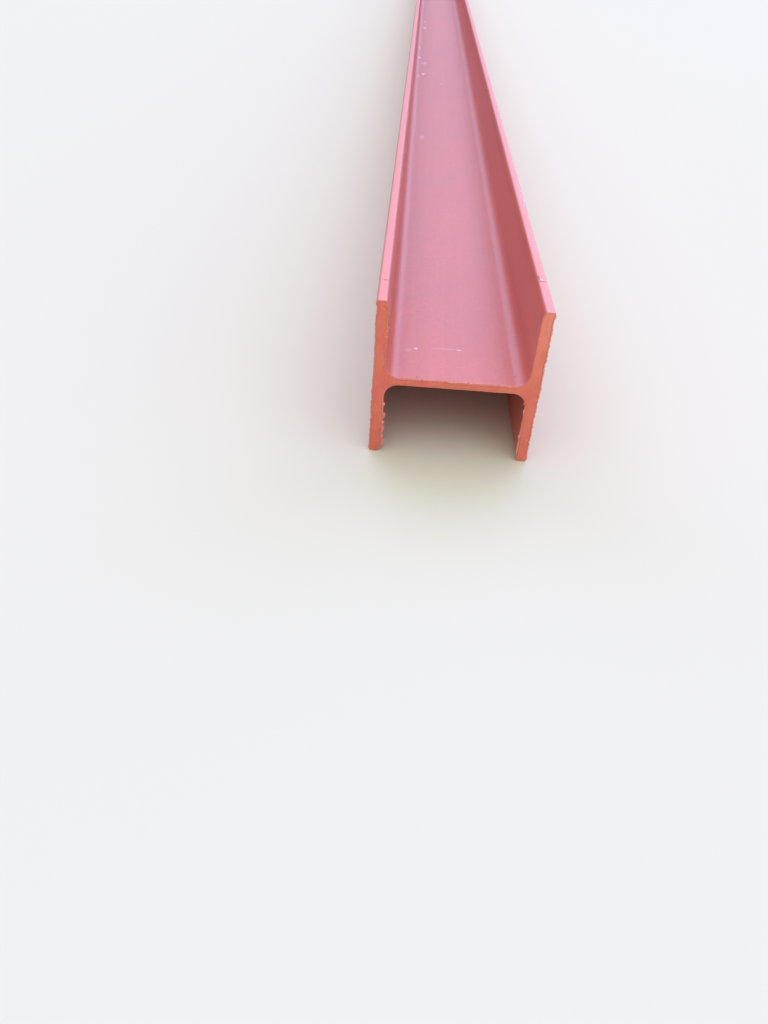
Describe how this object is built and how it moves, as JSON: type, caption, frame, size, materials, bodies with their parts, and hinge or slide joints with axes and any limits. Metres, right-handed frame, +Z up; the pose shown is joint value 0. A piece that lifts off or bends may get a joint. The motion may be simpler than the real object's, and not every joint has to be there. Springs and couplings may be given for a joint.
{
  "type": "steel i-beam",
  "caption": "Hot-rolled wide-flange steel I-beam in red oxide primer, a straight stock length with parallel flanges, root fillets and square sawn ends.",
  "frame": {"origin": "middle of the beam's length, on the floor halfway between the two lower flange toes", "axes": "+X across from the left flange to the right flange, +Y along the beam away from the end that the picture shows, +Z up, square to the web"},
  "size_m": [0.18, 6, 0.18],
  "materials": {
    "red_oxide_primer": "satin red oxide primer over rolled steel, with saw burrs at the ends and small scuffs"
  },
  "bodies": {
    "root": {"i_beam": "red_oxide_primer"}
  },
  "joints": []
}
